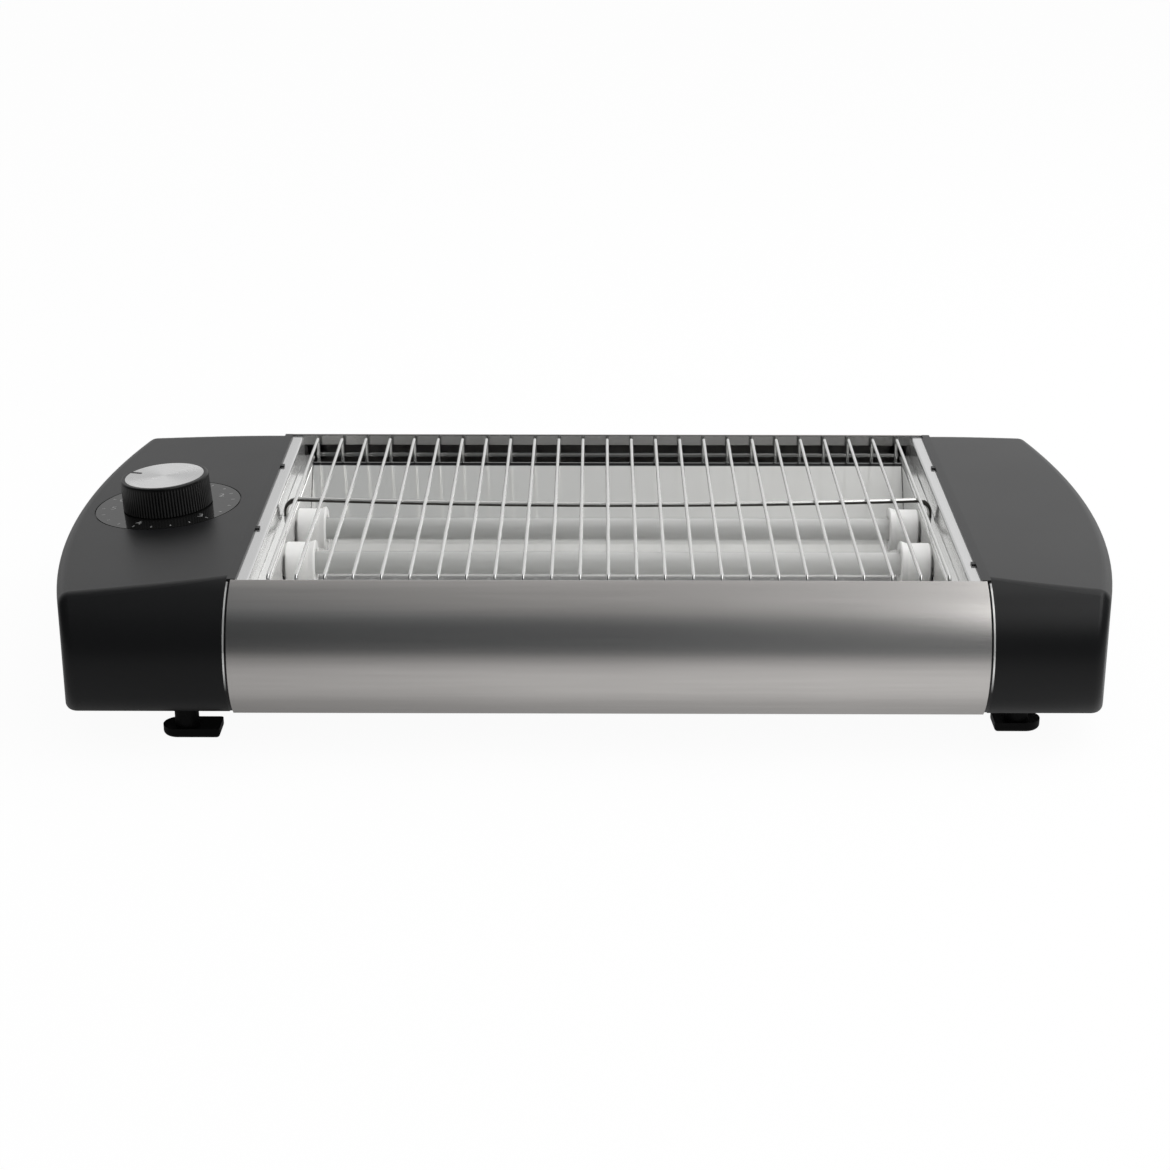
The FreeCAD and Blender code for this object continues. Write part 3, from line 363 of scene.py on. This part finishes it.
def reflector_metal():
    """Bright sheet: a polished ledge, a dark band of painted shade along the bend below it, and a
    wall that is less metallic towards the right, painted light that brightens its right end.
    """
    f = Finish("bright_reflector")
    x, _, z = f.split(f.texture("Object"))
    ledge = f.span(z, 0.0, 1.0, ledge_begins_z, ledge_whole_z)
    rolled = f.lines(60, 900, 900)
    # painted light: less metallic towards the right, so diffuse light brightens the wall's right
    # end
    wall_shine = f.span(x, 0.55, 0.3, wall_painted_light_begins_x, wall_painted_light_whole_x)
    wall = f.blend(f.cloud(30.0), (0.88, 0.88, 0.86), (0.94, 0.94, 0.92))
    bright = f.blend(ledge, wall, (0.62, 0.62, 0.61))
    f.set(Metallic=f.mix(ledge, wall_shine, 1.0))
    # painted shade: a dark band along the bend below the ledge
    f.set(Base_Color=f.blend(f.window(z, *ledge_bend_shade_z), bright, grey(0.05)))
    f.set(Roughness=f.mix(ledge, f.span(rolled, 0.02, 0.05), f.span(rolled, 0.08, 0.14)))
    f.set(Normal=f.bump(rolled, reflector_relief))
    return f


def frame_steel():
    """Bright pressed sheet, duller on the top flange, with painted shade in the seams beside the
    panels and on its low parts outside them.
    """
    f = Finish("polished_steel")
    x, _, z = f.split(f.texture("Object"))
    low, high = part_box("front_panel")
    start, end = low[0], high[0]
    # painted shade in the seams beside the panels
    left_seam_shade = f.window(x, start - seam_shade_width, start - seam_shade_width + seam_shade_edge,
                         start, start + seam_shade_edge)
    right_seam_shade = f.window(x, end - seam_shade_edge, end,
                          end + seam_shade_width - seam_shade_edge, end + seam_shade_width)
    beyond = f.maths("ADD", f.maths("LESS_THAN", x, start), f.maths("GREATER_THAN", x, end))
    # painted shade on the low parts outside the panels
    low_shade = f.span(z, 1.0, 0.0, frame_shade_below_z, frame_shade_ends_z)
    dark = f.maths("MAXIMUM", f.maths("ADD", left_seam_shade, right_seam_shade),
                   f.maths("MULTIPLY", beyond, low_shade))
    flange = f.span(z, 0.0, 1.0, flange_begins_z, flange_whole_z)
    cloud = f.cloud(30.0)
    rolled = f.lines(900, 60, 900)
    inner = f.blend(cloud, (0.82, 0.82, 0.81), (0.9, 0.9, 0.89))
    outer = f.blend(cloud, grey(0.56), grey(0.6))
    f.set(Metallic=f.span(flange, 0.7, 0.75))
    f.set(Base_Color=f.blend(dark, f.blend(flange, inner, outer), grey(0.02)))
    f.set(Roughness=f.span(rolled, 0.08, 0.16))
    waves = f.noise(28.0, detail=1.0)
    f.set(Normal=f.bump(waves, frame_waviness, below=f.bump(rolled, frame_relief)))
    return f


def sheet_metal(name, colour, roughness, metallic=1.0):
    """Bright or dull sheet with a faint rolling grain."""
    f = Finish(name)
    rolled = f.lines(60, 900, 900)
    dark = [0.94 * value for value in colour]
    f.set(Metallic=metallic, Base_Color=f.blend(f.cloud(30.0), dark, colour))
    f.set(Roughness=f.span(rolled, 0.8 * roughness, 1.2 * roughness))
    f.set(Normal=f.bump(rolled, sheet_relief))
    return f


def cross_rod_metal():
    """Bright wire with painted shade on its underside and on the outer side of its ends."""
    f = Finish("wire_with_painted_shade")
    normal_x, _, normal_z = f.split(f.texture("Normal"))
    x = f.split(f.texture("Object"))[0]
    low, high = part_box("grill_cross_rod")
    # painted shade: dark where the wire faces down, and on the outer side of its ends
    inward = f.maths("MULTIPLY", normal_x, f.span(x, 1.5, -1.5, low[0], high[0]))
    uneven = f.span(f.noise(240.0), -0.08, 0.08)
    turned_up = f.maths("ADD", f.maths("ADD", normal_z, inward), uneven)
    bright = f.span(turned_up, 0.0, 1.0, 0.05, 0.4, "SMOOTHSTEP")
    f.set(Metallic=0.7, Base_Color=f.blend(bright, (0.05, 0.047, 0.043), (0.72, 0.72, 0.7)))
    f.set(Roughness=f.span(bright, 0.5, 0.22))
    return f


def plain_solid(name, dark, light, roughness, specular=0.5):
    """Plastic, rubber, ceramic or print: one colour, slightly uneven."""
    f = Finish(name)
    cloud = f.cloud(60.0)
    f.set(Base_Color=f.blend(cloud, dark, light), Specular_IOR_Level=specular)
    f.set(Roughness=f.span(cloud, 0.9 * roughness, 1.1 * roughness))
    f.set(Normal=f.bump(f.noise(900.0), mould_relief))
    return f


def milky_quartz():
    """Smooth milky tube, with painted light that makes it lighter towards its right end, away
    from the timer.
    """
    f = Finish("quartz")
    x = f.split(f.texture("Object"))[0]
    # painted light: lighter towards the right end
    painted_light = f.span(x, 0.0, 0.9, tube_painted_light_begins_x, tube_painted_light_whole_x)
    white = f.maths("ADD", painted_light, f.span(f.cloud(60.0), 0.0, 0.1))
    f.set(Base_Color=f.blend(white, (0.43, 0.435, 0.425), (0.62, 0.62, 0.61)))
    f.set(Roughness=f.span(f.noise(200.0), 0.07, 0.12), Specular_IOR_Level=0.7)
    return f


def spun_aluminium():
    """Aluminium turned on a lathe: fine rings, and light that fans out from the middle."""
    f = Finish("spun_aluminium")
    low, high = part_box("knob_disc")
    offset = f.node("ShaderNodeVectorMath", operation="SUBTRACT")
    f.feed(offset.inputs[0], f.texture("Object"))
    f.feed(offset.inputs[1], [(a + b) / 2 for a, b in zip(low, high)])
    distance = f.node("ShaderNodeVectorMath", operation="LENGTH")
    f.feed(distance.inputs[0], offset.outputs["Vector"])
    rings = f.node("ShaderNodeTexNoise", noise_dimensions="1D")
    rings.inputs["Scale"].default_value = 2600.0
    rings.inputs["Detail"].default_value = 2.0
    f.feed(rings.inputs["W"], distance.outputs["Value"])
    ring = rings.outputs["Fac"]
    f.set(Metallic=1.0, Base_Color=f.blend(ring, grey(0.69), grey(0.78)))
    f.set(Roughness=f.span(ring, 0.24, 0.34), Normal=f.bump(ring, turned_relief))
    f.set(Anisotropic=0.8, Tangent=f.radial_tangent("Z"))
    return f


def knob_plastic():
    """Black plastic, with painted highlights on the flutes' ridges and painted shade in the
    valleys between them.
    """
    f = Finish("knob_plastic")
    matrix = dial_frame()
    mapping = f.node("ShaderNodeMapping", vector_type="TEXTURE")
    mapping.inputs["Location"].default_value = matrix.translation
    mapping.inputs["Rotation"].default_value = matrix.to_euler()
    f.feed(mapping.inputs["Vector"], f.texture("Object"))
    x, y, z = f.split(mapping.outputs["Vector"])
    turns = f.maths("MULTIPLY", f.maths("ARCTAN2", y, x), knob_flutes / math.tau)
    pitch = f.maths("FRACT", f.maths("ADD", turns, knob_flutes + 0.5 - ridge_middle))
    side = f.span(z, 1.0, 0.0, knob_top - flutes_fade_from, knob_top - flutes_end)
    cloud = f.cloud(300.0)
    ridge = f.maths("MULTIPLY", f.window(pitch, *ridge_window), side)
    # painted highlight on the ridges, painted shade in the valleys
    lit = f.maths("MULTIPLY", ridge, f.span(cloud, 0.7, 1.0))
    f.set(Base_Color=f.blend(lit, grey(0.002), grey(0.03)), Specular_IOR_Level=0.25)
    f.set(Roughness=f.span(cloud, 0.32, 0.42), Normal=f.bump(f.noise(900.0), knob_relief))
    return f


def dress_nodes():
    dress(black_plastic(), "left_housing", "right_housing", "left_base_cover", "right_base_cover")
    dress(brushed_steel(), "front_panel", "tray_handle")
    dress(lip_steel(), "rear_panel")
    dress(frame_steel(), "left_side_frame", "right_side_frame")
    dress(reflector_metal(), "front_reflector", "rear_reflector")
    dress(sheet_metal("tray_sheet", (0.92, 0.92, 0.91), 0.04, metallic=0.7), "crumb_tray")
    dress(sheet_metal("zinc_sheet", (0.5, 0.51, 0.52), 0.4), "bottom_plate", "timer_case")
    dress(sheet_metal("chromed_wire", (0.68, 0.68, 0.67), 0.2, metallic=0.9), "grill_wires")
    dress(cross_rod_metal(), "grill_cross_rod")
    dress(milky_quartz(), "front_heating_tube", "rear_heating_tube")
    coil = sheet_metal("heating_wire", (0.3, 0.27, 0.25), 0.5)
    dress(coil, "front_heating_coil", "rear_heating_coil")
    ceramic = plain_solid("ceramic", (0.91, 0.905, 0.89), (0.95, 0.947, 0.935), 0.5)
    foot = plain_solid(
        "foot_plastic", (0.0018, 0.0018, 0.0019), (0.0026, 0.0026, 0.0027), 0.5, specular=0.12
    )
    for side in ("left", "right"):
        for end in ("front", "rear"):
            dress(ceramic, f"{end}_{side}_ceramic_cap")
            dress(foot, f"{end}_{side}_foot")
    fixings = sheet_metal("plated_fixings", (0.58, 0.58, 0.56), 0.3)
    dress(fixings, "heater_terminals", "jumper_strip", "foot_screws", "base_cover_screws")
    dress(fixings, "housing_screws", "bottom_rivets", "timer_screws", "timer_spindle")
    dress(plain_solid("soft_black", grey(0.01), grey(0.016), 0.6), "cord_gland")
    dress(plain_solid("lead_sleeve", (0.6, 0.59, 0.55), (0.7, 0.69, 0.65), 0.5), "internal_leads")
    block = plain_solid("white_plastic", (0.7, 0.69, 0.66), (0.78, 0.77, 0.74), 0.4)
    dress(block, "terminal_block")
    dress(knob_plastic(), "timer_knob")
    dress(spun_aluminium(), "knob_disc")
    dress(plain_solid("dial_gloss", grey(0.006), grey(0.008), 0.06, specular=0.32), "dial_plate")


def dial_frame():
    """Matrix of the dial: its axes, with Z out of the housing, and its middle."""
    joint = next(j for j in frame["record"]["behaviour"]["joints"] if j["name"] == "timer_turn")
    out = -Vector(joint["axis"]).normalized()
    back = Vector((0, 1, 0))
    across = back.cross(out)
    matrix = Matrix((across, back, out)).transposed().to_4x4()
    matrix.translation = Vector(joint["pos_m"])
    return matrix


def bar(mesh, angle, inner, outer, width, low, high):
    """Straight bar along a radius, with its inner end rounded."""
    along = Vector((math.cos(angle), math.sin(angle), 0))
    across = Vector((-along.y, along.x, 0))
    outline = [along * outer - across * width / 2, along * outer + across * width / 2]
    for step in range(bar_end_steps + 1):
        turn = math.pi * step / bar_end_steps
        corner = inner + width / 2 - math.sin(turn) * width / 2
        outline.append(along * corner + across * math.cos(turn) * width / 2)
    below = [mesh.verts.new(point + Vector((0, 0, low))) for point in outline]
    above = [mesh.verts.new(point + Vector((0, 0, high))) for point in outline]
    mesh.faces.new(list(reversed(below)))
    mesh.faces.new(above)
    for index, corner in enumerate(below):
        after = (index + 1) % len(below)
        mesh.faces.new((corner, below[after], above[after], above[index]))


def add_piece(name, data, finish, body):
    """Put a new piece in the scene, on a body of the model."""
    piece = bpy.data.objects.new(name, data)
    bpy.context.scene.collection.objects.link(piece)
    data.materials.append(finish.material)
    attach(piece, body)
    return piece


def add_mesh(name, mesh, finish, body):
    data = bpy.data.meshes.new(name)
    mesh.to_mesh(data)
    mesh.free()
    return add_piece(name, data, finish, body)


def build_dial():
    """Printed scale with plain numbers, and the pointer's black line."""
    matrix = dial_frame()
    ink = plain_solid("dial_print", grey(0.17), grey(0.22), 0.2)
    ticks = bmesh.new()
    for index in range(ticks_per_step * dial_steps + 1):
        angle = dial_start + dial_turn * index / ticks_per_step
        bar(ticks, angle, tick_inner, tick_outer, tick_width, tick_low, tick_high)
    piece = add_mesh("dial_ticks", ticks, ink, "root")
    piece.matrix_world = matrix
    for step in range(dial_steps + 1):
        angle = dial_start + dial_turn * step
        text = bpy.data.curves.new(f"dial_number_{step}", "FONT")
        text.body = str(step)
        text.size = number_size
        text.align_x = "CENTER"
        text.align_y = "CENTER"
        text.extrude = number_half_thickness
        text.offset = number_boldness
        piece = add_piece(f"dial_number_{step}", text, ink, "root")
        place = Vector((math.cos(angle), math.sin(angle), 0)) * number_radius
        piece.matrix_world = matrix @ Matrix.Translation(place + Vector((0, 0, number_lift)))
    black = plain_solid("pointer_black", grey(0.003), grey(0.004), 0.4, specular=0.2)
    line = bmesh.new()
    bar(line, dial_start, pointer_inner, pointer_outer, pointer_width,
        knob_top - pointer_proud, knob_top + pointer_proud)
    piece = add_mesh("pointer_line", line, black, "timer_knob")
    piece.matrix_world = matrix


def solids_of(name):
    """Lowest and highest corner of each separate solid in a CAD node."""
    mesh = bmesh.new()
    mesh.from_mesh(nodes_of[name].data)
    bmesh.ops.remove_doubles(mesh, verts=mesh.verts, dist=same_corner)
    waiting = set(mesh.verts)
    boxes = []
    while waiting:
        edge = [min(waiting, key=lambda vert: vert.index)]
        solid = set(edge)
        while edge:
            for link in edge.pop().link_edges:
                for vert in link.verts:
                    if vert not in solid:
                        solid.add(vert)
                        edge.append(vert)
        waiting -= solid
        places = [vert.co for vert in solid]
        low = Vector([min(place[axis] for place in places) for axis in range(3)])
        high = Vector([max(place[axis] for place in places) for axis in range(3)])
        boxes.append((low, high))
    mesh.free()
    return boxes


def build_screw_drives():
    """Cross recess in the head of each screw on the underside, as a dark cross laid in the face:
    painted shade where the recess would be.
    """
    # painted shade: a black cross instead of a cut recess
    dark = plain_solid("screw_recess_painted_shade", grey(0.006), grey(0.012), 0.6)
    crosses = bmesh.new()
    for name in ("base_cover_screws", "foot_screws"):
        for low, high in solids_of(name):
            middle = (low + high) / 2
            middle.z = low.z
            start = len(crosses.verts)
            for quarter in range(4):
                bar(crosses, quarter * math.pi / 2 + drive_turn, 0.0, drive_reach, drive_width,
                    -drive_proud, drive_depth)
            crosses.verts.ensure_lookup_table()
            bmesh.ops.translate(crosses, verts=crosses.verts[start:], vec=middle)
    add_mesh("screw_drives", crosses, dark, "root")


def build_floor():
    """White floor that keeps the shadow, and that mirrors see dimmer far off and at the left,
    with a painted shadow of the object just in front of it.
    """
    bpy.ops.mesh.primitive_plane_add(size=floor_size, location=(0, 0, 0))
    floor = bpy.context.object
    floor.name = "floor"
    f = Finish("floor")
    f.set(Base_Color=grey(floor_colour), Roughness=0.9, Specular_IOR_Level=0.1)
    seen, by_camera = f.seen_directly()
    x, y, _ = f.split(f.texture("Object"))
    near = f.span(y, floor_glow_far, floor_glow_near, floor_far_y, floor_near_y)
    # painted shadow: what mirrors see of the floor is dimmed just in front of the object
    painted_shadow = f.span(y, 1.0, floor_painted_shadow, floor_painted_shadow_begins_y, floor_painted_shadow_ends_y)
    by_side = f.span(x, floor_glow_left, floor_glow_right, floor_left_x, floor_right_x)
    mirrored = f.maths("MULTIPLY", f.maths("MULTIPLY", near, painted_shadow), by_side)
    glow = f.node("ShaderNodeEmission")
    f.feed(glow.inputs["Strength"], f.mix(by_camera, mirrored, 1.0))
    mix = f.node("ShaderNodeMixShader")
    share = f.maths("MULTIPLY", seen, f.mix(by_camera, floor_mirrored, floor_shown))
    f.feed(mix.inputs["Fac"], share)
    f.feed(mix.inputs[1], f.surface.outputs["BSDF"])
    f.feed(mix.inputs[2], glow.outputs["Emission"])
    f.feed(f.output.inputs["Surface"], mix.outputs["Shader"])
    floor.data.materials.append(f.material)


def build_world():
    """White to the camera; mirrors see a bright rear, a dark near side and a softbox."""
    world = bpy.data.worlds.new("studio")
    bpy.context.scene.world = world
    world.use_nodes = True
    s = Shading(world.node_tree)
    back = s.tree.nodes["Background"]
    x, y, z = s.split(s.texture("Generated"))
    by_height = s.span(
        z, near_side_low, near_side_high, near_side_low_z, near_side_high_z, "SMOOTHSTEP"
    )
    by_side = s.span(x, near_side_left, near_side_right, -near_side_reach, near_side_reach)
    across = s.window(x, *softbox_across)
    across = s.maths("MULTIPLY", across, across)
    softbox = s.maths("MULTIPLY", across, s.window(z, *softbox_upright))
    near_side = s.maths("ADD", s.maths("MULTIPLY", by_height, by_side),
                        s.maths("MULTIPLY", softbox, softbox_glow))
    rear_side = s.span(x, rear_left, rear_right, -rear_reach, rear_reach, "SMOOTHSTEP")
    near = s.span(y, 0.0, 1.0, near_side_begins_y, near_side_whole_y, "SMOOTHSTEP")
    mirrored = s.mix(near, rear_side, near_side)
    seen, by_camera = s.seen_directly()
    ambient = s.span(x, ambient_left, ambient_right, -1.0, 1.0)
    s.feed(back.inputs["Strength"], s.mix(seen, ambient, s.mix(by_camera, mirrored, 1.0)))
    cool = s.maths("MULTIPLY", seen, s.span(mirrored, 1.0, 0.0, cool_whole_below, cool_ends_at))
    s.feed(back.inputs["Color"], s.blend(cool, (1, 1, 1), cool_tint))


def build_lamp(name, place, aim, size, power):
    """Area lamp that lights surfaces, but that mirrors don't see."""
    data = bpy.data.lights.new(name, "AREA")
    data.shape = "RECTANGLE"
    data.size, data.size_y = size
    data.energy = power
    lamp = bpy.data.objects.new(name, data)
    bpy.context.scene.collection.objects.link(lamp)
    lamp.location = place
    lamp.rotation_euler = (Vector(aim) - Vector(place)).to_track_quat("-Z", "Y").to_euler()
    lamp.visible_glossy = False


bpy.context.scene.view_settings.view_transform = "Standard"
build_camera()
dress_nodes()
build_dial()
build_screw_drives()
build_floor()
build_world()
build_lamp("side_softbox", *side_softbox)
build_lamp("overhead_softbox", *overhead_softbox)
